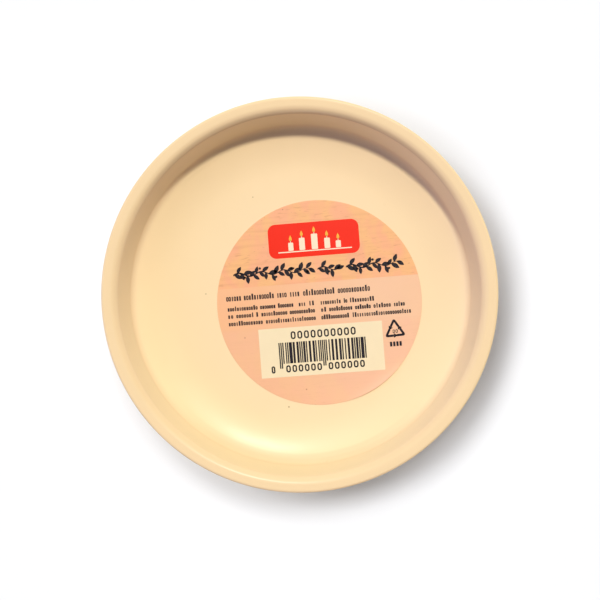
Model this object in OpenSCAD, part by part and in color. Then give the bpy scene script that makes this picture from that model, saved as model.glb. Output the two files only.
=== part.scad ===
// Round ceramic candle plate with its two stuck-on labels and its stick-on feet.
// Millimetres, +Z up, origin on the table under the middle of the plate, +Y up the front label.

/* [Plate] */
// Diameter over the rim
plate_d = 120; // [104:1:160]
// Height of the ceramic, from the foot ring to the rim
plate_h = 20; // [16:0.5:30]
// Thickness of the floor over the hollow underneath
floor_t = 3.8; // [3:0.1:6]

/* [Rim and wall] */
// Width of the rim, which is the width of the wall too
rim_w = 4.7; // [4:0.1:6]
// Lean of the wall from upright, in degrees
wall_lean = 12.5; // [4:0.5:15]
// Slope of the rim's flat towards the dish, in degrees
rim_slope = 4; // [1:0.5:8]
// Rounding of the rim's inner corner
rim_in_r = 2.7; // [1:0.1:3.2]
// Rounding of the rim's outer corner
rim_out_r = 0.9; // [0.4:0.1:1.4]

/* [Dish] */
// Radius of the gentle sweep at the edge of the flat floor
sweep_r = 26; // [10:1:28]
// Slope at the end of the sweep, in degrees
sweep_slope = 25; // [10:1:27]
// Rounding of the inside corner, where the wall stands up from the sweep
corner_r = 4.5; // [1:0.1:6]

/* [Foot ring] */
// Distance of the foot ring's outside in from the rim
ring_inset = 10; // [8:0.5:14]
// Width of the foot ring
ring_w = 10; // [8:0.5:14]
// Height of the foot ring outside, where the underside starts
ring_h = 1.6; // [1:0.1:2.5]
// Depth of the hollow inside the foot ring
hollow_h = 1.2; // [0.8:0.1:2]
// Slope of the foot ring's two sides from upright, in degrees
ring_lean = 20; // [5:1:35]
// Slope of the underside outside the foot ring, in degrees
under_slope = 12; // [5:1:16]
// Rounding of the shoulder between the underside and the wall
shoulder_r = 5; // [2:0.5:6]
// Rounding of the foot ring's corners
ring_r = 0.5; // [0.3:0.1:0.8]

/* [Front label] */
// Distance of the label's middle from the plate's middle, along X
label_x = 6.1; // [-10:0.1:10]
// Distance of the label's middle from the plate's middle, along Y
label_y = -2.4; // [-10:0.1:10]
// Flat floor left bare beside the label where it is nearest the sweep
label_margin = 0.9; // [0.5:0.1:12]
// Thickness of the label film
label_t = 0.1; // [0.06:0.01:0.3]

/* [Back label] */
// Gap between the back label and the edge of the hollow
back_margin = 12; // [3:0.5:20]
// Thickness of the back label film
back_t = 0.1; // [0.06:0.01:0.3]

/* [Feet] */
// Ring surface left bare on each side of a foot
foot_margin = 1; // [0.8:0.1:2]
// Thickness of a foot
foot_t = 1.2; // [0.8:0.1:2.5]
// Rounding of a foot's lower edge
foot_r = 0.5; // [0.2:0.05:0.6]
// Direction of the first foot from the plate's middle, in degrees
foot_turn = 45; // [0:5:90]

/* [Hidden] */
feet = 4;
round_fn = 96;
// Longest step along a rounding, and its largest turn in degrees
arc_step = 0.9;
arc_turn = 9;

// Heights of the ceramic's own faces over the table
ring_z = foot_t;
hollow_z = ring_z + hollow_h;
floor_z = hollow_z + floor_t;

// The rim's outer corner before its rounding, which then just reaches the plate's diameter and height
wall_facing = [cos(wall_lean), -sin(wall_lean)];
rim_facing = [-sin(rim_slope), cos(rim_slope)];
rim_corner = [plate_d / 2, ring_z + plate_h] - [rim_out_r, rim_out_r]
    + rim_out_r * (wall_facing + rim_facing) / (1 + wall_facing * rim_facing);
rim_out = rim_corner[0];
rim_z = rim_corner[1];
rim_in = rim_out - rim_w;

// Radii of the foot ring at its resting face
ring_out = plate_d / 2 - ring_inset;
ring_in = ring_out - ring_w;
ring_mid = (ring_out + ring_in) / 2;
hollow_out = ring_in - hollow_h * tan(ring_lean);

// Radius at height z of a leaning wall line that has radius r at the rim
function wall_at(r, z) = r - (rim_z - z) * tan(wall_lean);

// The sweep's straight end is as long as its rounding and the inside corner's rounding need
sweep_len = sweep_r * tan(sweep_slope / 2) + corner_r * tan((90 - wall_lean - sweep_slope) / 2);
corner_z = floor_z + sweep_len * sin(sweep_slope);
corner_x = wall_at(rim_in, corner_z);
sweep_x = corner_x - sweep_len * cos(sweep_slope);
flat_out = sweep_x - sweep_r * tan(sweep_slope / 2);

// The rim's inner corner is where its flat meets the inner wall line
lip_x = (rim_in - tan(wall_lean) * tan(rim_slope) * rim_out) / (1 - tan(wall_lean) * tan(rim_slope));
lip_z = rim_z - (rim_out - lip_x) * tan(rim_slope);

// The shoulder is where the sloping underside meets the outer wall line
ring_top_x = ring_out + ring_h * tan(ring_lean);
under_z0 = ring_z + ring_h;
shoulder_x = (wall_at(rim_out, under_z0) - tan(wall_lean) * tan(under_slope) * ring_top_x)
    / (1 - tan(wall_lean) * tan(under_slope));
shoulder_z = under_z0 + (shoulder_x - ring_top_x) * tan(under_slope);

// Labels and feet take their size from the face that they are stuck to
label_r = flat_out - norm([label_x, label_y]) - label_margin;
back_r = hollow_out - back_margin;
foot_d = ring_w - 2 * foot_margin;

// Unit vector along v
function unit(v) = v / norm(v);

// Points of a rounding of radius r at corner b of the path a, b, c
function rounding(a, b, c, r) =
    let (
        u = unit(a - b),
        v = unit(c - b),
        half = acos(u * v) / 2,
        middle = b + unit(u + v) * r / sin(half),
        side = cross(u, v) > 0 ? -1 : 1,
        turn = 180 - 2 * half,
        start = b + u * r / tan(half) - middle,
        first = atan2(start[1], start[0]),
        steps = ceil(max(turn / arc_turn, r * turn * PI / 180 / arc_step))
    )
    [for (i = [0 : steps])
        let (at = first + side * turn * i / steps)
        middle + r * [cos(at), sin(at)]];

// A path of [x, z, rounding] corners with every rounding drawn in. Its two ends stay sharp
function rounded(path) =
    let (last = len(path) - 1, at = [for (p = path) [p[0], p[1]]])
    [for (i = [0 : last]) each
        i == 0 || i == last || path[i][2] == 0
            ? [at[i]]
            : rounding(at[i - 1], at[i], at[i + 1], path[i][2])];

// Half section of the ceramic, from the middle of the hollow out, up the wall and back in over the floor
plate_section = rounded([
    [0, hollow_z, 0],
    [hollow_out, hollow_z, ring_r],
    [ring_in, ring_z, ring_r],
    [ring_out, ring_z, ring_r],
    [ring_top_x, under_z0, ring_r],
    [shoulder_x, shoulder_z, shoulder_r],
    [rim_out, rim_z, rim_out_r],
    [lip_x, lip_z, rim_in_r],
    [corner_x, corner_z, corner_r],
    [sweep_x, floor_z, sweep_r],
    [0, floor_z, 0]
]);

// Half section of a foot, stuck on by its upper face
foot_section = rounded([
    [0, 0, 0],
    [foot_d / 2, 0, foot_r],
    [foot_d / 2, foot_t, 0],
    [0, foot_t, 0]
]);

// Pressed and glazed stoneware dish in one piece
module plate() {
    color([0.98, 0.88, 0.69])
        rotate_extrude($fn = round_fn)
            polygon(plate_section);
}

// Round film label, stuck flat on the floor of the dish
module front_label() {
    color([0.98, 0.75, 0.55])
        translate([label_x, label_y, floor_z])
            cylinder(h = label_t, r = label_r, $fn = round_fn);
}

// Round film label, stuck up in the hollow of the underside
module back_label() {
    color([0.97, 0.94, 0.86])
        translate([0, 0, hollow_z - back_t])
            cylinder(h = back_t, r = back_r, $fn = round_fn);
}

// One of the feet, stuck under the foot ring
module rubber_foot(number) {
    color([0.86, 0.85, 0.82])
        rotate([0, 0, foot_turn + (number - 1) * 360 / feet])
            translate([ring_mid, 0, 0])
                rotate_extrude($fn = round_fn)
                    polygon(foot_section);
}

plate();
front_label();
back_label();
rubber_foot(1);  // rubber_foot_1
rubber_foot(2);  // rubber_foot_2
rubber_foot(3);  // rubber_foot_3
rubber_foot(4);  // rubber_foot_4
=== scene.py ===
import random
from math import atan2, cos, hypot, pi, radians, sin, tan

import bmesh
import bpy
from mathutils import Matrix, Vector, noise


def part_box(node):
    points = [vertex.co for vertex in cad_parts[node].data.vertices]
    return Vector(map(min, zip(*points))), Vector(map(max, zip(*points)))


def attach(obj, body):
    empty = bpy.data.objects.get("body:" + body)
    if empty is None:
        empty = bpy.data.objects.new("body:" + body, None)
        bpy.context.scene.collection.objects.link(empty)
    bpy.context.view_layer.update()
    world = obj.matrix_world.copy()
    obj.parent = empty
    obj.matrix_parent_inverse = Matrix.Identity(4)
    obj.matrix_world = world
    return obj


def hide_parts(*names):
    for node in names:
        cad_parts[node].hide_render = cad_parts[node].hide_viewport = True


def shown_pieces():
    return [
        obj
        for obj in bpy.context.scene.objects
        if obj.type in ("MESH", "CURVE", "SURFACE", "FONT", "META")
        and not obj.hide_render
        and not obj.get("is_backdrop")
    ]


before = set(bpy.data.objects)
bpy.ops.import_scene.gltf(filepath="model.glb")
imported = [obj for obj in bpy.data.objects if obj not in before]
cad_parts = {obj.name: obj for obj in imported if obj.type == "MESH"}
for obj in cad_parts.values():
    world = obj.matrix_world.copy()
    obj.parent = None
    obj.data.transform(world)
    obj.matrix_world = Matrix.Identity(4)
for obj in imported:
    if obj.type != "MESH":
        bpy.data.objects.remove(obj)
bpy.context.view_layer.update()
mm = 0.001

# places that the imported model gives
plateLow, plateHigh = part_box("plate")
labelLow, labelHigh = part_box("front_label")
backLow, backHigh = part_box("back_label")
rimRadius = plateHigh.x
rimTop = plateHigh.z
ringBottom = plateLow.z
hollowTop = backHigh.z
floorTop = labelLow.z
labelMiddle = (labelLow + labelHigh) / 2
labelRadius = (labelHigh.x - labelLow.x) / 2
print("frame loaded")


def srgb(red, green, blue):
    # a colour as a picture editor shows it, 0 to 255, as Blender's linear numbers
    parts = [c / 255 for c in (red, green, blue)]
    return tuple(c / 12.92 if c <= 0.04045 else ((c + 0.055) / 1.055) ** 2.4 for c in parts) + (1,)


# shader tools

def feed(tree, socket, value):
    # links a socket to another one, or sets its value
    if isinstance(value, bpy.types.NodeSocket):
        tree.links.new(value, socket)
    else:
        socket.default_value = value


def addNode(tree, kind, inputs, **settings):
    node = tree.nodes.new(kind)
    for name, value in settings.items():
        setattr(node, name, value)
    for name, value in inputs.items():
        feed(tree, node.inputs[name], value)
    return node


def newGroup(name, inputs, outputs):
    tree = bpy.data.node_groups.new(name, "ShaderNodeTree")
    for label, kind, value in inputs:
        socket = tree.interface.new_socket(label, in_out="INPUT", socket_type=kind)
        if value is not None:
            socket.default_value = value
    for label, kind in outputs:
        tree.interface.new_socket(label, in_out="OUTPUT", socket_type=kind)
    entry = tree.nodes.new("NodeGroupInput").outputs
    leave = tree.nodes.new("NodeGroupOutput").inputs
    return tree, entry, leave


def useGroup(tree, group, inputs):
    return addNode(tree, "ShaderNodeGroup", inputs, node_tree=group).outputs


def mathNode(tree, operation, first, second=0.0, third=0.0):
    inputs = {0: first, 1: second, 2: third}
    return addNode(tree, "ShaderNodeMath", inputs, operation=operation).outputs[0]


def vectorNode(tree, operation, first, second):
    # the length of a vector comes from another output than what the other operations give
    wanted = "Value" if operation == "LENGTH" else "Vector"
    return addNode(tree, "ShaderNodeVectorMath", {0: first, 1: second}, operation=operation).outputs[wanted]


def mixColour(tree, factor, first, second):
    node = addNode(tree, "ShaderNodeMix", {}, data_type="RGBA", clamp_factor=True)
    for name, value in (("Factor_Float", factor), ("A_Color", first), ("B_Color", second)):
        feed(tree, next(s for s in node.inputs if s.identifier == name), value)
    return next(s for s in node.outputs if s.identifier == "Result_Color")


def toneWhere(tree, mask, colour, tone):
    # multiplies a colour by a tone where the mask says so
    return mixColour(tree, mask, colour, vectorNode(tree, "MULTIPLY", colour, tone))


def rangeNode(tree, value, low, high, toLow=0.0, toHigh=1.0, smooth=True):
    node = addNode(tree, "ShaderNodeMapRange", {"Value": value, "From Min": low, "From Max": high,
                                                "To Min": toLow, "To Max": toHigh})
    node.interpolation_type = "SMOOTHSTEP" if smooth else "LINEAR"
    return node.outputs["Result"]


def bandNode(tree, value, limits):
    # 1 from the second limit to the third, fading to 0 at the first and the last
    start, full, last, end = limits
    return mathNode(tree, "MULTIPLY", rangeNode(tree, value, start, full),
                    rangeNode(tree, value, last, end, 1.0, 0.0))


def noiseNode(tree, vector, scale, detail=2.0, roughness=0.5):
    inputs = {"Vector": vector, "Scale": scale, "Detail": detail, "Roughness": roughness}
    return addNode(tree, "ShaderNodeTexNoise", inputs).outputs["Fac"]


def unevenRoughness(tree, pattern, finish):
    # swings round the finish's roughness with a pattern of 0 to 1
    swing = finish["roughSwing"]
    return mathNode(tree, "MULTIPLY_ADD", pattern, swing, finish["roughness"] - swing / 2)


def addBump(tree, shader, height):
    # height is in metres
    bump = addNode(tree, "ShaderNodeBump", {"Height": height, "Strength": 1.0, "Distance": 1.0})
    tree.links.new(bump.outputs["Normal"], shader["Normal"])


def newMaterial(name):
    material = bpy.data.materials.new(name)
    material.use_nodes = True
    tree = material.node_tree
    tree.nodes.clear()
    output = tree.nodes.new("ShaderNodeOutputMaterial")
    shader = tree.nodes.new("ShaderNodeBsdfPrincipled")
    tree.links.new(shader.outputs[0], output.inputs["Surface"])
    coordinates = tree.nodes.new("ShaderNodeTexCoord").outputs["Object"]
    return material, tree, shader.inputs, coordinates


# soft uneven tone, as in a sprayed glaze or a printed film
def buildMottle():
    tree, entry, leave = newGroup("mottle", [
        ("Vector", "NodeSocketVector", None), ("Colour", "NodeSocketColor", None),
        ("Patch size", "NodeSocketFloat", 0.02), ("Strength", "NodeSocketFloat", 0.05)],
        [("Colour", "NodeSocketColor"), ("Patches", "NodeSocketFloat")])
    scale = mathNode(tree, "DIVIDE", 1.0, entry["Patch size"])
    wide = noiseNode(tree, entry["Vector"], scale, 3.0, 0.55)
    centred = mathNode(tree, "SUBTRACT", wide, 0.5)
    gain = mathNode(tree, "MULTIPLY_ADD", centred, entry["Strength"], 1.0)
    scaled = addNode(tree, "ShaderNodeVectorMath", {0: entry["Colour"], "Scale": gain}, operation="SCALE")
    tree.links.new(scaled.outputs["Vector"], leave["Colour"])
    tree.links.new(wide, leave["Patches"])
    return tree


# sparse small dark spots, such as iron specks in clay or dirt in a print
def buildSpecks():
    tree, entry, leave = newGroup("specks", [
        ("Vector", "NodeSocketVector", None), ("Spacing", "NodeSocketFloat", 0.012),
        ("Size", "NodeSocketFloat", 0.0003), ("Share", "NodeSocketFloat", 0.3)],
        [("Mask", "NodeSocketFloat")])
    scale = mathNode(tree, "DIVIDE", 1.0, entry["Spacing"])
    cells = addNode(tree, "ShaderNodeTexVoronoi",
                    {"Vector": entry["Vector"], "Scale": scale, "Randomness": 1.0})
    reach = mathNode(tree, "MULTIPLY", cells.outputs["Distance"], entry["Spacing"])
    near = mathNode(tree, "DIVIDE", reach, entry["Size"])
    core = 0.45    # share of a speck that is fully dark
    dark = rangeNode(tree, near, core, 1.0, 1.0, 0.0)
    chance = addNode(tree, "ShaderNodeSeparateColor", {"Color": cells.outputs["Color"]}).outputs["Red"]
    kept = mathNode(tree, "LESS_THAN", chance, entry["Share"])
    tree.links.new(mathNode(tree, "MULTIPLY", dark, kept), leave["Mask"])
    return tree


# one soft round spot at a chosen place, seen from above
def buildSpot():
    tree, entry, leave = newGroup("spot", [
        ("Vector", "NodeSocketVector", None), ("Place", "NodeSocketVector", None),
        ("Size", "NodeSocketFloat", 0.0003)], [("Mask", "NodeSocketFloat")])
    apart = vectorNode(tree, "SUBTRACT", entry["Vector"], entry["Place"])
    far = vectorNode(tree, "LENGTH", vectorNode(tree, "MULTIPLY", apart, (1, 1, 0)), (0, 0, 0))
    near = mathNode(tree, "DIVIDE", far, entry["Size"])
    core = 0.4    # share of the spot that is fully dark
    tree.links.new(rangeNode(tree, near, core, 1.0, 1.0, 0.0), leave["Mask"])
    return tree


mottle = buildMottle()
specks = buildSpecks()
spot = buildSpot()


def surfaceColour(tree, place, colour, finish):
    # mottles a colour and adds specks and the flaws at chosen places to it
    soft = useGroup(tree, mottle, {"Vector": place, "Colour": colour, "Patch size": finish["patchSize"],
                                   "Strength": finish["patchStrength"]})
    mask = useGroup(tree, specks, {"Vector": place, "Spacing": finish["speckSpacing"],
                                   "Size": finish["speckSize"], "Share": finish["speckShare"]})["Mask"]
    for x, y, size in finish["flaws"]:
        one = useGroup(tree, spot, {"Vector": place, "Place": (x, y, 0), "Size": size})["Mask"]
        mask = mathNode(tree, "MAXIMUM", mask, one)
    dark = mathNode(tree, "MULTIPLY", mask, finish["speckStrength"])
    return mixColour(tree, dark, soft["Colour"], finish["speckColour"])


# mesh tools

def turned(corners, steps, longest):
    # turns a half section round the plate's axis; corners are radius, height and rounding
    arcTurn = radians(5)    # turn of one face in a rounding
    bm = bmesh.new()
    verts = [bm.verts.new((radius, 0, height)) for radius, height, _ in corners]
    for pair in zip(verts, verts[1:]):
        bm.edges.new(pair)
    turns = [verts[i].co - verts[i - 1].co for i in range(1, len(verts))]
    for vert, before, after, corner in zip(verts[1:], turns, turns[1:], corners[1:]):
        if corner[2]:
            turn = before.angle(after)
            bmesh.ops.bevel(bm, geom=[vert], offset=corner[2] * tan(turn / 2), offset_type="OFFSET",
                            segments=max(3, round(turn / arcTurn)), profile=0.5,
                            affect="VERTICES", material=-1)
    for edge in bm.edges[:]:
        cuts = int(edge.calc_length() / longest)
        if cuts:
            bmesh.ops.subdivide_edges(bm, edges=[edge], cuts=cuts)
    bmesh.ops.spin(bm, geom=bm.verts[:] + bm.edges[:], cent=(0, 0, 0), axis=(0, 0, 1),
                   angle=2 * pi, steps=steps, use_merge=True)
    bmesh.ops.remove_doubles(bm, verts=bm.verts, dist=1e-7)
    bmesh.ops.recalc_face_normals(bm, faces=bm.faces)
    return bm


def makePiece(bm, name, material, replaced=None):
    mesh = bpy.data.meshes.new(name)
    for face in bm.faces:
        face.smooth = True
    bm.to_mesh(mesh)
    bm.free()
    mesh.materials.append(material)
    piece = bpy.data.objects.new(name, mesh)
    bpy.context.scene.collection.objects.link(piece)
    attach(piece, "root")
    if replaced:
        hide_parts(replaced)
    print(name, len(mesh.polygons), "faces")
    return piece


# plate

plateForm = {
    "steps": 320,
    "longest": 2.2 * mm,         # longest straight step of the section
    "rimWidth": 4.7 * mm,
    "wallLean": radians(12.5),
    "rimSlope": radians(4),
    "rimInRound": 2.7 * mm,
    "rimOutRound": 0.9 * mm,
    "sweepRound": 26 * mm,       # gentle rise at the edge of the flat floor
    "sweepSlope": radians(25),
    "cornerRoom": 4.5 * mm,      # rounding that the sweep leaves room for
    "cornerRound": 3.4 * mm,     # rounding once the glaze is on
    "ringOut": 50 * mm,
    "ringIn": 40 * mm,
    "ringHeight": 1.6 * mm,
    "ringLean": radians(20),
    "underSlope": radians(12),
    "shoulderRound": 5 * mm,
    "ringRound": 0.5 * mm,
    "ovalBy": 0.0013,            # pressed ware is never quite round
    "rimWave": 0.10 * mm,
    "rimWaves": 1.6,             # radius of the ring through the noise: more gives more waves
    "rimSeed": 4.2,              # height of that ring in the noise
    "floorWave": 0.05 * mm,
    "floorWaves": 60.0,          # noise cells per metre
    "floorShare": 0.9,           # share of the rim's radius that the wavy floor reaches
    "levelFade": 8 * mm,         # flat out to the label's radius, fully wavy this much further out
}


def plateCorners(form):
    lean, slope = tan(form["wallLean"]), form["sweepSlope"]
    wallFacing = Vector((cos(form["wallLean"]), -sin(form["wallLean"])))
    rimFacing = Vector((-sin(form["rimSlope"]), cos(form["rimSlope"])))
    edge = form["rimOutRound"]
    rim = Vector((rimRadius - edge, rimTop - edge))
    rim += edge * (wallFacing + rimFacing) / (1 + wallFacing.dot(rimFacing))
    rimIn = rim.x - form["rimWidth"]

    def wallAt(radius, height):
        return radius - (rim.y - height) * lean

    lift = lean * tan(form["rimSlope"])
    lip = (rimIn - lift * rim.x) / (1 - lift)
    sweep = form["sweepRound"] * tan(slope / 2)
    sweep += form["cornerRoom"] * tan((pi / 2 - form["wallLean"] - slope) / 2)
    cornerTop = floorTop + sweep * sin(slope)
    corner = wallAt(rimIn, cornerTop)
    underTop = ringBottom + form["ringHeight"]
    underIn = form["ringOut"] + form["ringHeight"] * tan(form["ringLean"])
    drift = lean * tan(form["underSlope"])
    shoulder = (wallAt(rim.x, underTop) - drift * underIn) / (1 - drift)
    hollowDeep = hollowTop - ringBottom
    return [
        (0, hollowTop, 0),
        (form["ringIn"] - hollowDeep * tan(form["ringLean"]), hollowTop, form["ringRound"]),
        (form["ringIn"], ringBottom, form["ringRound"]),
        (form["ringOut"], ringBottom, form["ringRound"]),
        (underIn, underTop, form["ringRound"]),
        (shoulder, underTop + (shoulder - underIn) * tan(form["underSlope"]), form["shoulderRound"]),
        (rim.x, rim.y, form["rimOutRound"]),
        (lip, rim.y - (rim.x - lip) * tan(form["rimSlope"]), form["rimInRound"]),
        (corner, cornerTop, form["cornerRound"]),
        (corner - sweep * cos(slope), floorTop, form["sweepRound"]),
        (0, floorTop, 0),
    ]


def pressByHand(bm, form):
    # a slight oval, a rim that isn't quite level and a floor that isn't quite flat
    for vert in bm.verts:
        x, y, z = vert.co
        radius, angle = hypot(x, y), atan2(y, x)
        up = max(0.0, (z - ringBottom) / (rimTop - ringBottom))
        outwards = min(1.0, radius / rimRadius)
        around = Vector((cos(angle), sin(angle), 0))
        sway = noise.noise(around * form["rimWaves"] + Vector((0, 0, form["rimSeed"])))
        vert.co.x = x * (1 + form["ovalBy"] * outwards ** 2)
        vert.co.y = y * (1 - form["ovalBy"] * outwards ** 2)
        vert.co.z += form["rimWave"] * sway * up ** 2
        if radius < form["floorShare"] * rimRadius and z > floorTop - mm:
            bare = min(1.0, max(0.0, (radius - labelRadius) / form["levelFade"]))
            vert.co.z += bare * form["floorWave"] * noise.noise(Vector((x, y, 0)) * form["floorWaves"])


glazeFinish = {
    "colour": srgb(230, 202, 155),
    "patchSize": 18 * mm,
    "patchStrength": 0.05,
    "paintedFootShade": (0.91, 0.91, 0.91),      # painted shade at the foot of the wall
    "footShadeRadius": (49.7 * mm, 50.7 * mm, 51.8 * mm, 53.2 * mm),
    "footShadeSides": (0.6, 0.97),          # the painted shade is on two sides only: share of the radius along Y
    "paintedWallLight": (1.03, 1.08, 1.11),    # painted light that makes the wall above the foot paler
    "wallLightOver": (4.2 * mm, 6.0 * mm),      # paler from these heights over the floor
    "wallLightUnder": (2.6 * mm, 1.4 * mm),     # to these depths under the rim's top
    "wallLightInside": 3.7 * mm,            # from the rim's edge: only the dish's side of the wall
    "paintedRimShade": (0.975, 0.945, 0.90),   # painted shade that darkens and warms the rim's top
    "rimShadeUnder": (1.6 * mm, 0.6 * mm),      # from the first depth under its top, fully from the second
    "paintedLipShade": (0.86, 0.86, 0.86),     # painted shade: a thin darker line at the lip
    "lipShadeRadius": (54.5 * mm, 55.1 * mm, 55.6 * mm, 56.5 * mm),
    "lipShadeUnder": 2.2 * mm,
    "lipShadeSides": (0.35, 0.75),          # painted on the far side only: share of the radius along Y
    "speckSpacing": 20 * mm,
    "speckSize": 0.3 * mm,
    "speckShare": 0.10,
    "speckStrength": 0.7,
    "speckColour": srgb(128, 98, 66),
    "flaws": [(-3.5 * mm, -35.6 * mm, 0.34 * mm), (-30.0 * mm, 0.3 * mm, 0.26 * mm),
              (-15.0 * mm, 31.1 * mm, 0.24 * mm)],
    "clay": srgb(208, 190, 164),
    "clayGrit": srgb(182, 161, 134),
    "clayRoughness": 0.85,
    "gritScale": 2600.0,
    "gritRange": (0.3, 0.75),          # noise values between which the clay turns to grit
    "gritDepth": 0.06 * mm,
    "wipedOver": 0.2 * mm,             # least height over the ring's bottom where the glaze starts
    "wipedWave": 0.5 * mm,
    "wipedScale": 160.0,
    "wipedBlur": 0.06 * mm,
    "rippleScale": 260.0,
    "rippleDepth": 0.01 * mm,
    "roughness": 0.29,
    "roughSwing": 0.06,
    "ior": 1.5,
    "specular": 0.10,
}


def glazeMaterial(finish):
    material, tree, shader, place = newMaterial("satin_glaze")
    axes = addNode(tree, "ShaderNodeSeparateXYZ", {"Vector": place}).outputs
    radius = vectorNode(tree, "LENGTH", vectorNode(tree, "MULTIPLY", place, (1, 1, 0)), (0, 0, 0))
    towardsY = mathNode(tree, "DIVIDE", axes["Y"], radius)
    colour = surfaceColour(tree, place, finish["colour"], finish)

    # painted shade: darker at the foot of the wall, on the sides along Y
    footShadeMask = bandNode(tree, radius, finish["footShadeRadius"])
    above = mathNode(tree, "GREATER_THAN", axes["Z"], floorTop)
    footShadeSideMask = rangeNode(tree, mathNode(tree, "ABSOLUTE", towardsY), *finish["footShadeSides"])
    footShadeMask = mathNode(tree, "MULTIPLY", mathNode(tree, "MULTIPLY", footShadeMask, above), footShadeSideMask)
    colour = toneWhere(tree, footShadeMask, colour, finish["paintedFootShade"])

    # painted light: the dish's side of the wall is made paler
    heights = [floorTop + over for over in finish["wallLightOver"]]
    heights += [rimTop - under for under in finish["wallLightUnder"]]
    inside = mathNode(tree, "LESS_THAN", radius, rimRadius - finish["wallLightInside"])
    litWallMask = mathNode(tree, "MULTIPLY", bandNode(tree, axes["Z"], heights), inside)
    colour = toneWhere(tree, litWallMask, colour, finish["paintedWallLight"])

    # painted shade on the rim's top
    rimShadeMask = rangeNode(tree, axes["Z"], *[rimTop - under for under in finish["rimShadeUnder"]])
    colour = toneWhere(tree, rimShadeMask, colour, finish["paintedRimShade"])

    # painted shade: a thin dark line at the lip, on the far side
    nearTop = mathNode(tree, "GREATER_THAN", axes["Z"], rimTop - finish["lipShadeUnder"])
    lipShadeMask = mathNode(tree, "MULTIPLY", bandNode(tree, radius, finish["lipShadeRadius"]), nearTop)
    lipShadeMask = mathNode(tree, "MULTIPLY", lipShadeMask, rangeNode(tree, towardsY, *finish["lipShadeSides"]))
    colour = toneWhere(tree, lipShadeMask, colour, finish["paintedLipShade"])

    # the ring that stands on the feet is wiped clean of glaze
    grit = noiseNode(tree, place, finish["gritScale"], 3.0, 0.6)
    edge = mathNode(tree, "MULTIPLY_ADD", noiseNode(tree, place, finish["wipedScale"]), finish["wipedWave"],
                    ringBottom + finish["wipedOver"])
    bare = rangeNode(tree, mathNode(tree, "SUBTRACT", axes["Z"], edge), -finish["wipedBlur"],
                     finish["wipedBlur"], 1.0, 0.0)
    clay = mixColour(tree, rangeNode(tree, grit, *finish["gritRange"]), finish["clay"], finish["clayGrit"])
    tree.links.new(mixColour(tree, bare, colour, clay), shader["Base Color"])

    ripple = noiseNode(tree, place, finish["rippleScale"], 2.0, 0.45)
    rough = unevenRoughness(tree, ripple, finish)
    bareRough = mathNode(tree, "MULTIPLY", bare, finish["clayRoughness"])
    tree.links.new(mathNode(tree, "MAXIMUM", rough, bareRough), shader["Roughness"])
    shader["IOR"].default_value = finish["ior"]
    shader["Specular IOR Level"].default_value = finish["specular"]
    gritHeight = mathNode(tree, "MULTIPLY", mathNode(tree, "MULTIPLY", grit, bare), finish["gritDepth"])
    addBump(tree, shader, mathNode(tree, "MULTIPLY_ADD", ripple, finish["rippleDepth"], gritHeight))
    return material


plateShell = turned(plateCorners(plateForm), plateForm["steps"], plateForm["longest"])
pressByHand(plateShell, plateForm)
makePiece(plateShell, "glazed_plate", glazeMaterial(glazeFinish), "plate")


# front label

filmIor = 1.48
labelForm = {
    "steps": 192,
    "longest": 0.9 * mm,
    "turn": radians(4.4),        # the print leans this much against the photograph's frame
    "edgeRound": 0.03 * mm,
    "liftSide": radians(-55),    # side where the film has come up a little
    "liftFrom": 0.90,            # share of the radius where the lift starts
    "liftBy": 0.40 * mm,
}


def liftAt(x, y):
    # height that the loose side of the film has come up by, at a point from the label's middle
    side = labelForm["liftSide"]
    along = (x * cos(side) + y * sin(side)) / labelRadius
    share = max(0.0, (along - labelForm["liftFrom"]) / (1 - labelForm["liftFrom"]))
    return labelForm["liftBy"] * share ** 2


def layOnFloor(bm):
    # puts a piece drawn round the label's middle in its place, along the lifted film
    for vert in bm.verts:
        vert.co.z += liftAt(vert.co.x, vert.co.y)
    bmesh.ops.translate(bm, vec=(labelMiddle.x, labelMiddle.y, 0), verts=bm.verts)


labelFinish = {
    "wood": srgb(225, 168, 110),
    "pink": srgb(226, 160, 116),
    "woodLow": srgb(222, 171, 130),
    "woodRight": srgb(223, 177, 142),
    "band": srgb(226, 169, 122),
    "bandRight": srgb(223, 178, 138),
    "grain": srgb(196, 136, 88),
    "speckColour": srgb(150, 96, 62),
    "bandTop": 6.5,              # heights on the print, in millimetres like the two spans below
    "bandTopBlur": 0.05,
    "bandBottom": -7.0,
    "bandBottomBlur": 1.5,
    "bandSpan": (-24.0, 22.0),   # the band gets paler to the right over this span
    "lowSpan": (-22.0, 26.0),    # and so does the picture below it
    "bandGrain": 0.08,           # share of the wood picture that shows through the band
    "lowGrain": 0.30,
    "patchSize": 12 * mm,
    "patchStrength": 0.05,
    "speckSpacing": 14 * mm,
    "speckSize": 0.3 * mm,
    "speckShare": 0.3,
    "speckStrength": 0.6,
    "flaws": [(2.1 * mm, -30.0 * mm, 0.32 * mm), (-17.5 * mm, -13.7 * mm, 0.30 * mm),
              (-5.5 * mm, 27.1 * mm, 0.28 * mm)],
    "rippleScale": 120.0,
    "rippleDepth": 0.02 * mm,
    "roughness": 0.40,
    "roughSwing": 0.08,
    "specular": 0.22,
}


# light wood with short dashes of grain along X; Place is in millimetres
woodPrint = {
    "bendScale": 0.05,
    "bendBy": 2.4,
    "patches": (0.16, 0.11),     # patterns per millimetre along the grain and across it
    "patchRange": (0.38, 0.62),
    "streaks": (0.05, 0.9),
    "streakRange": (0.45, 0.75, 0.0, 0.25),    # noise from and to, strength from and to
    "clusters": (0.07, 0.22),
    "clusterRange": (0.44, 0.60),
    "dashes": (0.34, 2.3),
    "dashRange": (0.58, 0.72, 0.0, 0.55),
    "flecks": (0.7, 3.4),
    "fleckRange": (0.735, 0.81, 0.0, 0.6),
}


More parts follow.
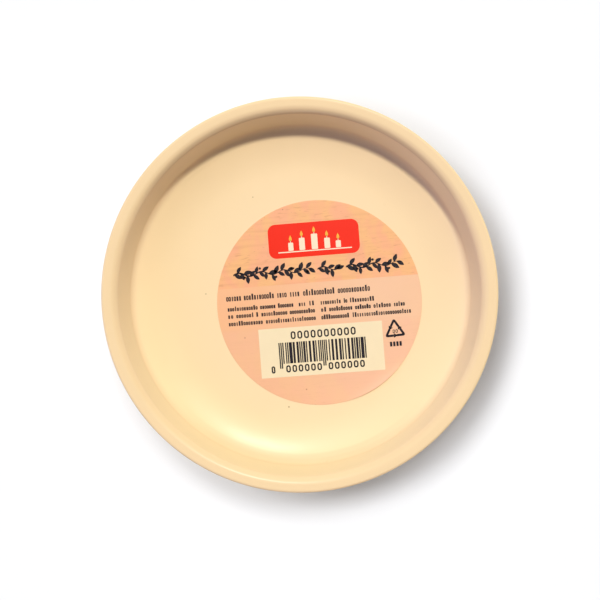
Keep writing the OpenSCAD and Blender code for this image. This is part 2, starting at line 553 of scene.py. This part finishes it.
def buildWoodPrint(form):
    tree, entry, leave = newGroup("wood_print", [
        ("Place", "NodeSocketVector", None), ("Wood", "NodeSocketColor", None),
        ("Pink", "NodeSocketColor", None), ("Grain", "NodeSocketColor", None),
        ("Fleck", "NodeSocketColor", None)], [("Colour", "NodeSocketColor")])
    warp = addNode(tree, "ShaderNodeTexNoise",
                   {"Vector": entry["Place"], "Scale": form["bendScale"], "Detail": 2.0})
    bend = vectorNode(tree, "MULTIPLY", warp.outputs["Color"], (0, form["bendBy"], 0))
    bent = vectorNode(tree, "ADD", entry["Place"], bend)

    def grainNoise(pattern, detail, roughness=0.5):
        stretched = addNode(tree, "ShaderNodeMapping", {"Vector": bent, "Scale": (*form[pattern], 1)})
        return noiseNode(tree, stretched.outputs["Vector"], 1.0, detail, roughness)

    pinkness = rangeNode(tree, grainNoise("patches", 2.0), *form["patchRange"])
    colour = mixColour(tree, pinkness, entry["Wood"], entry["Pink"])
    streaks = rangeNode(tree, grainNoise("streaks", 3.0), *form["streakRange"])
    colour = mixColour(tree, streaks, colour, entry["Grain"])
    clusters = rangeNode(tree, grainNoise("clusters", 1.0), *form["clusterRange"])
    dashes = rangeNode(tree, grainNoise("dashes", 1.0), *form["dashRange"])
    colour = mixColour(tree, mathNode(tree, "MULTIPLY", clusters, dashes), colour, entry["Grain"])
    flecks = rangeNode(tree, grainNoise("flecks", 1.0, 0.4), *form["fleckRange"])
    tree.links.new(mixColour(tree, flecks, colour, entry["Fleck"]), leave["Colour"])
    return tree


def labelMaterial(finish):
    material, tree, shader, place = newMaterial("printed_film")
    centred = addNode(tree, "ShaderNodeMapping", {"Vector": place, "Location": -labelMiddle})
    level = addNode(tree, "ShaderNodeMapping", {
        "Vector": centred.outputs["Vector"], "Rotation": (0, 0, -labelForm["turn"]),
        "Scale": (1 / mm, 1 / mm, 1 / mm)}).outputs["Vector"]
    axes = addNode(tree, "ShaderNodeSeparateXYZ", {"Vector": level}).outputs
    wood = useGroup(tree, buildWoodPrint(woodPrint), {
        "Place": level, "Wood": finish["wood"], "Pink": finish["pink"],
        "Grain": finish["grain"], "Fleck": finish["speckColour"]})["Colour"]

    # a pale band crosses the picture, and below it the wood is paler than above
    towardsRight = rangeNode(tree, axes["X"], *finish["lowSpan"])
    low = mixColour(tree, finish["lowGrain"],
                    mixColour(tree, towardsRight, finish["woodLow"], finish["woodRight"]), wood)
    towardsRight = rangeNode(tree, axes["X"], *finish["bandSpan"])
    band = mixColour(tree, finish["bandGrain"],
                     mixColour(tree, towardsRight, finish["band"], finish["bandRight"]), wood)
    top, topBlur = finish["bandTop"], finish["bandTopBlur"]
    bottom, bottomBlur = finish["bandBottom"], finish["bandBottomBlur"]
    aboveBand = rangeNode(tree, axes["Y"], top - topBlur, top + topBlur)
    belowBand = rangeNode(tree, axes["Y"], bottom - bottomBlur, bottom + bottomBlur, 1.0, 0.0)
    picture = mixColour(tree, aboveBand, mixColour(tree, belowBand, band, low), wood)
    tree.links.new(surfaceColour(tree, place, picture, finish), shader["Base Color"])

    ripple = noiseNode(tree, place, finish["rippleScale"])
    tree.links.new(unevenRoughness(tree, ripple, finish), shader["Roughness"])
    shader["IOR"].default_value = filmIor
    shader["Specular IOR Level"].default_value = finish["specular"]
    addBump(tree, shader, mathNode(tree, "MULTIPLY", ripple, finish["rippleDepth"]))
    return material


def filmDisc(radius, low, high, form):
    corners = [(0, low, 0), (radius, low, 0), (radius, high, form["edgeRound"]), (0, high, 0)]
    return turned(corners, form["steps"], form["longest"])


film = filmDisc(labelRadius, labelLow.z, labelHigh.z, labelForm)
layOnFloor(film)
makePiece(film, "wood_print_label", labelMaterial(labelFinish), "front_label")


# inks of the front label, drawn in millimetres round its middle, X along its lines

inkForm = {
    "thickness": 0.02,
    "above": 0.004,              # gap under the ink
    "step": 3.0,                 # a large shape has a face about every so many millimetres
}


def drawBar(bm, x, y, wide, tall, rounding=0.0, segments=3):
    # a flat bar round x, y
    verts = bmesh.ops.create_grid(bm, x_segments=max(1, int(wide / inkForm["step"])),
                                  y_segments=max(1, int(tall / inkForm["step"])), size=0.5)["verts"]
    bmesh.ops.scale(bm, vec=(wide, tall, 1), verts=verts)
    if rounding:
        corners = [v for v in verts if len(v.link_edges) == 2]
        rounded = bmesh.ops.bevel(bm, geom=corners, offset=rounding, offset_type="OFFSET",
                                  segments=segments, profile=0.5, affect="VERTICES", material=-1)
        verts = [v for v in verts if v.is_valid] + [v for v in rounded["verts"] if v.is_valid]
    setDown(bm, verts, x, y)
    return verts


def setDown(bm, verts, x, y, turn=0.0):
    bmesh.ops.rotate(bm, cent=(0, 0, 0), matrix=Matrix.Rotation(turn, 3, "Z"), verts=verts)
    bmesh.ops.translate(bm, vec=(x, y, 0), verts=verts)


def drawDrop(bm, x, y, wide, tall):
    # a flame: round below, drawn out to a point above
    drop = bmesh.ops.create_circle(bm, cap_ends=True, segments=20, radius=0.5)["verts"]
    for vert in drop:
        share = vert.co.y + 0.5
        vert.co.x *= wide * (1 - share ** 2)
        vert.co.y *= tall
    setDown(bm, drop, x, y)


def drawLeaf(bm, x, y, wide, tall, turn, bend=0.25):
    # a leaf that grows from x, y, with a point at both ends and a slight bend
    leaf = bmesh.ops.create_circle(bm, cap_ends=True, segments=16, radius=0.5)["verts"]
    for vert in leaf:
        share = vert.co.y + 0.5
        vert.co.x = 2 * vert.co.x * abs(vert.co.x) * wide + bend * wide * share ** 2
        vert.co.y = share * tall
    setDown(bm, leaf, x, y, turn)


def drawDot(bm, x, y, size):
    dot = bmesh.ops.create_circle(bm, cap_ends=True, segments=12, radius=size / 2)["verts"]
    setDown(bm, dot, x, y)


def drawRing(bm, x, y, wide, tall, rounding, stroke):
    # an outlined bar
    verts = drawBar(bm, x, y, wide, tall, rounding)
    outer = list({f for v in verts for f in v.link_faces})
    bmesh.ops.inset_region(bm, faces=outer, thickness=stroke, use_even_offset=True, use_boundary=True)
    bmesh.ops.delete(bm, geom=[f for f in outer if f.is_valid], context="FACES")


def printInk(bm, name, material, layer=0):
    # gives flat shapes the thickness of ink and lays them on the film
    bmesh.ops.recalc_face_normals(bm, faces=bm.faces)
    for face in bm.faces:
        if face.normal.z < 0:
            face.normal_flip()
    bmesh.ops.solidify(bm, geom=bm.faces[:], thickness=-inkForm["thickness"])
    low = inkForm["above"] + layer * (inkForm["thickness"] + inkForm["above"])
    lowest = min(v.co.z for v in bm.verts)
    bmesh.ops.translate(bm, vec=(0, 0, low - lowest), verts=bm.verts)
    bmesh.ops.scale(bm, vec=(mm, mm, mm), verts=bm.verts)
    bmesh.ops.rotate(bm, cent=(0, 0, 0), matrix=Matrix.Rotation(labelForm["turn"], 3, "Z"), verts=bm.verts)
    bmesh.ops.translate(bm, vec=(0, 0, labelHigh.z), verts=bm.verts)
    layOnFloor(bm)
    bmesh.ops.recalc_face_normals(bm, faces=bm.faces)
    piece = makePiece(bm, name, material)
    piece.data.polygons.foreach_set("use_smooth", [False] * len(piece.data.polygons))


inkFinish = {
    "patchSize": 4 * mm,
    "patchStrength": 0.05,
    "roughness": 0.40,
    "roughSwing": 0.08,
    "specular": 0.15,
}


def mottledMaterial(name, colour, finish):
    # one colour in soft patches, which the roughness follows
    material, tree, shader, place = newMaterial(name)
    soft = useGroup(tree, mottle, {"Vector": place, "Colour": colour, "Patch size": finish["patchSize"],
                                   "Strength": finish["patchStrength"]})
    tree.links.new(soft["Colour"], shader["Base Color"])
    tree.links.new(unevenRoughness(tree, soft["Patches"], finish), shader["Roughness"])
    return material, shader


def inkMaterial(name, colour):
    material, shader = mottledMaterial(name, colour, inkFinish)
    shader["IOR"].default_value = filmIor
    shader["Specular IOR Level"].default_value = inkFinish["specular"]
    return material


redInk = inkMaterial("red_ink", srgb(224, 36, 8))
creamInk = inkMaterial("cream_ink", srgb(232, 208, 172))
yellowInk = inkMaterial("yellow_ink", srgb(226, 164, 58))
blackInk = inkMaterial("black_ink", srgb(22, 15, 20))
whiteInk = inkMaterial("white_ink", srgb(225, 204, 161))

# red patch with a row of candles
patchForm = {
    "middle": (-0.2, 20.25),
    "size": (28.9, 10.85),
    "rounding": 2.4,
    "candles": [(-7.6, 1.6, 2.6), (-4.0, 1.8, 3.9), (0.0, 2.0, 4.9), (4.0, 1.8, 3.3), (7.5, 1.6, 2.2)],
    "candleRound": 0.25,
    "shelf": 16.65,
    "shelfSize": (23.5, 0.35, 0.17),    # wide, tall and rounding
    "flame": (1.1, 1.9),
    "flameOver": 0.5,
    "wick": (0.22, 0.7),
}
patch = bmesh.new()
drawBar(patch, *patchForm["middle"], *patchForm["size"], patchForm["rounding"], segments=8)
printInk(patch, "label_red_patch", redInk)
candles = bmesh.new()
flames = bmesh.new()
for x, wide, tall in patchForm["candles"]:
    foot = patchForm["shelf"] + patchForm["shelfSize"][1]
    drawBar(candles, x, foot + tall / 2, wide, tall, patchForm["candleRound"])
    drawBar(candles, x, foot + tall + patchForm["wick"][1] / 2, *patchForm["wick"])
    flameAt = foot + tall + patchForm["flameOver"] + patchForm["flame"][1] / 2
    drawDrop(flames, x, flameAt, *patchForm["flame"])
drawBar(candles, 0, patchForm["shelf"], *patchForm["shelfSize"])
printInk(candles, "label_candles", creamInk, 1)
printInk(flames, "label_flames", yellowInk, 1)

# title row: a painted garland of leaves and berries in three lengths
titleForm = {
    "groups": [(-26.6, -1.4), (0.3, 7.5), (9.3, 26.6)],
    "level": 10.6,
    "sway": 0.6,                 # height of the stem's waves, and their length
    "wave": 7.2,
    "stem": 0.42,
    "stemTaper": (1.3, 0.5),     # shares of the stem's width at its start and at its end
    "leaf": (1.3, 2.65),
    "vary": (0.88, 1.12),        # least and largest share of a leaf's size and spread
    "pitch": 1.0,
    "firstLeaf": 0.3,            # share of the pitch before the first leaf
    "endRoom": 0.8,              # length without leaves before the end
    "endLeaf": 1.2,              # the last leaf starts this far before the end
    "spread": radians(50),       # between a leaf and its stem
    "berry": 0.8,
    "berryPlace": 0.3,           # from the leaf's foot along the stem
    "berryAway": (0.9, 1.2),
    "berryEvery": 5,
    "firstBerry": 3,
}
title = bmesh.new()
draw = random.Random(12)


def garlandAt(share, length):
    # height and slope of the stem at a share of its length
    waves = 2 * pi / titleForm["wave"]
    phase = waves * share * length
    height = titleForm["level"] + titleForm["sway"] * sin(phase)
    return height, titleForm["sway"] * waves * cos(phase)


for start, end in titleForm["groups"]:
    length = end - start
    stem = bmesh.ops.create_grid(title, x_segments=64, y_segments=1, size=0.5)["verts"]
    thick, thin = titleForm["stemTaper"]
    for vert in stem:
        share = vert.co.x + 0.5
        taper = thick + (thin - thick) * share
        vert.co.x = start + share * length
        vert.co.y = garlandAt(share, length)[0] + vert.co.y * titleForm["stem"] * taper
    for number in range(int((length - titleForm["endRoom"]) / titleForm["pitch"])):
        share = (number + titleForm["firstLeaf"]) * titleForm["pitch"] / length
        height, slope = garlandAt(share, length)
        x = start + share * length
        side = 1 if number % 2 else -1
        turn = atan2(slope, 1) - pi / 2 + side * titleForm["spread"] * draw.uniform(*titleForm["vary"])
        grow = draw.uniform(*titleForm["vary"])
        drawLeaf(title, x, height, titleForm["leaf"][0] * grow, titleForm["leaf"][1] * grow, turn)
        if number % titleForm["berryEvery"] == titleForm["firstBerry"]:
            berryAway = draw.uniform(*titleForm["berryAway"])
            drawDot(title, x + titleForm["berryPlace"], height - side * berryAway, titleForm["berry"])
    height = garlandAt(1 - titleForm["endLeaf"] / length, length)[0]
    turn = atan2(garlandAt(1, length)[1], 1) - pi / 2
    drawLeaf(title, end - titleForm["endLeaf"], height, *titleForm["leaf"], turn)
printInk(title, "label_title_garland", blackInk)

# small print: words as rows of plain ticks and rings
textForm = {
    "lines": [                   # height, letter size, and where each word starts and ends
        (3.2, 1.45, [(-29.5, -24.6), (-23.9, -14.1), (-13.3, -10.1), (-9.2, -6.0), (-4.9, 5.2),
                     (6.1, 16.4)]),
        (-0.2, 1.1, [(-29.3, -19.6), (-18.9, -13.9), (-13.2, -8.2), (-6.6, -4.3), (-3.4, -1.5),
                     (0.3, 6.9), (7.7, 8.9), (9.6, 17.5)]),
        (-2.5, 1.1, [(-29.4, -27.5), (-26.7, -21.0), (-20.3, -19.6), (-18.7, -10.3), (-9.6, -1.5),
                     (0.3, 2.2), (2.9, 10.4), (11.2, 16.2), (17.0, 22.6), (23.4, 27.0)]),
        (-4.9, 1.1, [(-29.3, -18.3), (-17.4, -1.4), (0.3, 9.2), (10.1, 28.8)]),
    ],
    "pitch": 0.74,               # for letters 1 mm tall
    "pitchGrows": 0.3,           # share of the pitch that grows with their height
    "rings": 0.5,                # share of rings among the ticks
    "ringStroke": 0.29,
    "ringSize": (0.88, 0.37),    # width and rounding as shares of the pitch
    "tickStroke": 0.36,
    "tickWidths": (1.0, 1.5),
    "tickHeights": (1.0, 1.0, 1.35),
    "tickRound": 0.08,
}
text = bmesh.new()
for level, tall, words in textForm["lines"]:
    pitch = textForm["pitch"] * (1 + textForm["pitchGrows"] * (tall - 1))
    ringWide, ringRound = [share * pitch for share in textForm["ringSize"]]
    for start, end in words:
        letters = max(1, round((end - start) / pitch))
        for number in range(letters):
            x = start + (number + 0.5) * (end - start) / letters
            if draw.random() < textForm["rings"]:
                drawRing(text, x, level, ringWide, tall, ringRound, textForm["ringStroke"])
            else:
                high = tall * draw.choice(textForm["tickHeights"])
                wide = textForm["tickStroke"] * draw.choice(textForm["tickWidths"])
                drawBar(text, x, level + (high - tall) / 2, wide, high, textForm["tickRound"], segments=2)
printInk(text, "label_small_print", blackInk)

# white field with made-up bars
codeForm = {
    "middle": (-0.35, -15.0),
    "size": (39.3, 15.6),
    "left": -13.9,
    "right": 14.6,
    "top": -11.9,
    "bottom": -18.6,
    "guardBottom": -20.1,
    "rounding": 0.15,
    "modules": 95,
    "guards": (0, 2, 46, 48, 92, 94),
    "guardGaps": (1, 47, 93),
    "barWidths": (1, 1, 2, 2, 3),    # in modules
    "gapWidths": (1, 1, 2),
    "spread": 0.09,              # the ink ran this much wider than each bar
    "digitStroke": 0.45,
    "digitSize": (0.74, 0.35),   # width and rounding as shares of the pitch
    "topRow": (-10.1, 11.1, -9.75, 2.5, 10),    # from, to, height, size and count
    "lowRows": [(-16.9, -15.3, -20.3, 2.3, 1), (-12.3, -0.4, -20.3, 2.3, 6), (1.2, 13.2, -20.3, 2.3, 6)],
}
field = bmesh.new()
drawBar(field, *codeForm["middle"], *codeForm["size"], codeForm["rounding"])
printInk(field, "label_white_field", whiteInk)
bars = bmesh.new()
module = (codeForm["right"] - codeForm["left"]) / codeForm["modules"]
at = 0
while at < codeForm["modules"]:
    guard = at in codeForm["guards"]
    if guard:
        wide, low = 1, codeForm["guardBottom"]
    else:
        wide, low = draw.choice(codeForm["barWidths"]), codeForm["bottom"]
    room = min([g for g in codeForm["guards"] if g > at] + [codeForm["modules"]]) - at
    wide = min(wide, max(1, room - 1))
    tall = codeForm["top"] - low
    if at not in codeForm["guardGaps"]:
        drawBar(bars, codeForm["left"] + (at + wide / 2) * module, low + tall / 2,
                wide * module + codeForm["spread"], tall)
    at += wide + (1 if guard else min(draw.choice(codeForm["gapWidths"]), max(1, room - wide)))
for start, end, level, tall, count in [codeForm["topRow"]] + codeForm["lowRows"]:
    pitch = (end - start) / count
    digitWide, digitRound = [share * pitch for share in codeForm["digitSize"]]
    for number in range(count):
        drawRing(bars, start + (number + 0.5) * pitch, level, digitWide, tall, digitRound,
                 codeForm["digitStroke"])
printInk(bars, "label_bars", blackInk, 1)

# triangle of three bars for the sorting mark, with a few ticks below
markForm = {
    "middle": (23.2, -10.6),
    "radius": 4.0,
    "rounding": 1.1,
    "stroke": 0.72,
    "gap": 0.9,
    "arrow": 0.85,
    "digits": [(22.85, -10.9), (23.75, -10.9)],
    "digitSize": (0.7, 1.1, 0.3, 0.2),       # wide, tall, rounding and stroke
    "ticks": (21.2, 25.2, -14.9, 1.5, 4),    # from, to, height, size and count
    "tickSize": (0.7, 0.12),                 # wide and rounding
}
mark = bmesh.new()
corners = bmesh.ops.create_circle(mark, cap_ends=True, segments=3, radius=markForm["radius"])["verts"]
bmesh.ops.bevel(mark, geom=corners, offset=markForm["rounding"], offset_type="OFFSET", segments=5,
                profile=0.5, affect="VERTICES", material=-1)
solid = mark.faces[:]
bmesh.ops.inset_region(mark, faces=solid, thickness=markForm["stroke"], use_even_offset=True,
                       use_boundary=True)
bmesh.ops.delete(mark, geom=[f for f in solid if f.is_valid], context="FACES")
tip = max(mark.verts, key=lambda v: v.co.length).co
firstSide = atan2(tip.y, tip.x) + pi / 3
for number in range(3):
    side = firstSide + number * 2 * pi / 3
    along = Vector((-sin(side), cos(side), 0))
    for shift in (-1, 1):
        bmesh.ops.bisect_plane(mark, geom=mark.verts[:] + mark.edges[:] + mark.faces[:], dist=1e-6,
                               plane_co=along * shift * markForm["gap"] / 2, plane_no=along)
    outwards = Vector((cos(side), sin(side), 0))
    inGap = [f for f in mark.faces if abs(f.calc_center_median().dot(along)) < markForm["gap"] / 2
             and f.calc_center_median().dot(outwards) > 0]
    bmesh.ops.delete(mark, geom=inGap, context="FACES")
    arrow = bmesh.ops.create_circle(mark, cap_ends=True, segments=3, radius=markForm["arrow"])["verts"]
    farthest = max(arrow, key=lambda v: v.co.y).co
    sideAt = outwards * (markForm["radius"] - markForm["stroke"]) / 2
    setDown(mark, arrow, sideAt.x, sideAt.y, side + pi / 2 - atan2(farthest.y, farthest.x))
bmesh.ops.rotate(mark, cent=(0, 0, 0), matrix=Matrix.Rotation(pi / 2 - atan2(tip.y, tip.x), 3, "Z"),
                 verts=mark.verts)
bmesh.ops.translate(mark, vec=(*markForm["middle"], 0), verts=mark.verts)
start, end, level, tall, count = markForm["ticks"]
tickWide, tickRound = markForm["tickSize"]
pitch = (end - start) / count
for number in range(count):
    drawBar(mark, start + (number + 0.5) * pitch, level, tickWide, tall, tickRound, segments=2)
for x, y in markForm["digits"]:
    drawRing(mark, x, y, *markForm["digitSize"])
printInk(mark, "label_sorting_mark", blackInk)


# back label

backFinish = {
    "colour": srgb(240, 232, 214),
    "patchSize": 10 * mm,
    "patchStrength": 0.04,
    "rippleScale": 90.0,
    "rippleDepth": 0.06 * mm,
    "roughness": 0.41,
    "roughSwing": 0.10,
}


def backMaterial(finish):
    material, tree, shader, place = newMaterial("plain_film")
    soft = useGroup(tree, mottle, {"Vector": place, "Colour": finish["colour"],
                                   "Patch size": finish["patchSize"], "Strength": finish["patchStrength"]})
    tree.links.new(soft["Colour"], shader["Base Color"])
    ripple = noiseNode(tree, place, finish["rippleScale"], 3.0)
    tree.links.new(unevenRoughness(tree, ripple, finish), shader["Roughness"])
    addBump(tree, shader, mathNode(tree, "MULTIPLY", ripple, finish["rippleDepth"]))
    return material


backRadius = (backHigh.x - backLow.x) / 2
backFilm = filmDisc(backRadius, backHigh.z, backLow.z, labelForm)
makePiece(backFilm, "plain_back_label", backMaterial(backFinish), "back_label")


# feet

footForm = {
    "steps": 64,
    "longest": 1.0 * mm,
    "edgeRound": 0.5 * mm,
}
rubberFinish = {
    "colour": srgb(214, 208, 196),
    "patchSize": 2 * mm,
    "patchStrength": 0.08,
    "roughness": 0.495,
    "roughSwing": 0.15,
}

rubber = mottledMaterial("soft_rubber", rubberFinish["colour"], rubberFinish)[0]
for node in sorted(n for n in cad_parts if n.startswith("rubber_foot")):
    low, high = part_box(node)
    radius = (high.x - low.x) / 2
    corners = [(0, low.z, 0), (radius, low.z, footForm["edgeRound"]), (radius, high.z, 0), (0, high.z, 0)]
    foot = turned(corners, footForm["steps"], footForm["longest"])
    middle = (low + high) / 2
    bmesh.ops.translate(foot, vec=(middle.x, middle.y, 0), verts=foot.verts)
    makePiece(foot, node.replace("rubber", "soft"), rubber, node)


# stage: floor, lamps, sky and camera

stage = {
    "floorSize": 6.0,
    "floorColour": (0.735, 0.74, 0.752, 1),
    "floorRoughness": 0.9,
    "keySide": radians(80.5),      # direction of the small lamp round the plate
    "keyRise": radians(64.3),
    "keyAway": 5.0,
    "keySize": 0.48,
    "keyPower": 256.0,
    "keyColour": (1.0, 1.0, 0.96),
    "floorLamps": [              # these light only the floor: name, side, rise, spread, power
        ("north", radians(72), radians(62), radians(20), 1.05),
        ("north_west", radians(114), radians(56), radians(20), 0.98),
        ("west", radians(150), radians(59), radians(20), 1.69),
        ("south_west", radians(204), radians(62), radians(26), 1.13),
    ],
    "fills": [                   # soft cool light on the plate: name, side, rise, spread, power, colour
        ("west", radians(180), radians(30), radians(50), 1.70, (0.52, 0.54, 1.0)),
        ("east", radians(0), radians(30), radians(50), 0.80, (0.76, 0.74, 1.0)),
        ("north", radians(85), radians(30), radians(40), 0.42, (0.50, 0.86, 1.0)),
        ("south", radians(265), radians(5), radians(8), 0.45, (0.78, 0.70, 0.86)),
    ],
    "sky": 0.04,
    "skyColour": (0.60, 0.60, 1.0),
}

floorMesh = bmesh.new()
bmesh.ops.create_grid(floorMesh, x_segments=1, y_segments=1, size=stage["floorSize"] / 2)
floorData = bpy.data.meshes.new("floor")
floorMesh.to_mesh(floorData)
floorMesh.free()
floor = bpy.data.objects.new("floor", floorData)
bpy.context.scene.collection.objects.link(floor)
floor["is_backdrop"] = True
floorMaterial, _, floorShader, _ = newMaterial("white_table")
floorShader["Base Color"].default_value = stage["floorColour"]
floorShader["Roughness"].default_value = stage["floorRoughness"]
floorShader["Specular IOR Level"].default_value = 0.0
floorData.materials.append(floorMaterial)


def directionTo(side, rise):
    return Vector((cos(rise) * cos(side), cos(rise) * sin(side), sin(rise)))


def lightOnly(lamp, name, receivers):
    group = bpy.data.collections.new(name)
    for piece in receivers:
        group.objects.link(piece)
    lamp.light_linking.receiver_collection = group


key = bpy.data.lights.new("key_lamp", "AREA")
key.shape = "DISK"
key.size = stage["keySize"]
key.energy = stage["keyPower"]
key.color = stage["keyColour"]
keyLamp = bpy.data.objects.new("key_lamp", key)
bpy.context.scene.collection.objects.link(keyLamp)
away = directionTo(stage["keySide"], stage["keyRise"])
keyLamp.location = away * stage["keyAway"]
keyLamp.rotation_euler = away.to_track_quat("Z", "Y").to_euler()
lightOnly(keyLamp, "lit_by_key_lamp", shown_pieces())


def addSun(name, around, rise, spread, power, colour, receivers):
    sun = bpy.data.lights.new(name, "SUN")
    sun.angle = spread
    sun.energy = power
    sun.color = colour
    lamp = bpy.data.objects.new(name, sun)
    bpy.context.scene.collection.objects.link(lamp)
    lamp.rotation_euler = directionTo(around, rise).to_track_quat("Z", "Y").to_euler()
    lightOnly(lamp, "lit_by_" + name, receivers)


for side, around, rise, spread, power in stage["floorLamps"]:
    addSun("floor_" + side, around, rise, spread, power, (1, 1, 1), [floor])
for side, around, rise, spread, power, colour in stage["fills"]:
    addSun("fill_" + side, around, rise, spread, power, colour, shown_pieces())

world = bpy.data.worlds.new("white_studio")
bpy.context.scene.world = world
world.use_nodes = True
sky = world.node_tree
sky.nodes.clear()
rays = sky.nodes.new("ShaderNodeLightPath").outputs
seen = mathNode(sky, "MAXIMUM", rays["Is Camera Ray"], rays["Is Glossy Ray"])
seen = mathNode(sky, "MAXIMUM", seen, rays["Is Transmission Ray"])
tint = mixColour(sky, seen, stage["skyColour"] + (1,), (1, 1, 1, 1))
strength = rangeNode(sky, seen, 0.0, 1.0, stage["sky"], 1.0, smooth=False)
background = addNode(sky, "ShaderNodeBackground", {"Color": tint, "Strength": strength})
skyOut = sky.nodes.new("ShaderNodeOutputWorld")
sky.links.new(background.outputs[0], skyOut.inputs["Surface"])

view = {
    "place": (10.3 * mm, -1.63 * mm, 301 * mm),
    "aim": (0.54 * mm, -1.63 * mm, 21.2 * mm),
    "lens": 55.72,
    "sensor": 36,
    "clipStart": 0.01,
}
cameraData = bpy.data.cameras.new("camera")
cameraData.lens = view["lens"]
cameraData.sensor_width = view["sensor"]
cameraData.clip_start = view["clipStart"]
camera = bpy.data.objects.new("camera", cameraData)
bpy.context.scene.collection.objects.link(camera)
back = (Vector(view["place"]) - Vector(view["aim"])).normalized()
right = Vector((0, 1, 0)).cross(back).normalized()
above = back.cross(right)
turn = Matrix((right, above, back)).transposed().to_4x4()
camera.matrix_world = Matrix.Translation(view["place"]) @ turn
bpy.context.scene.camera = camera
bpy.context.scene.view_settings.view_transform = "Standard"
print("stage set")
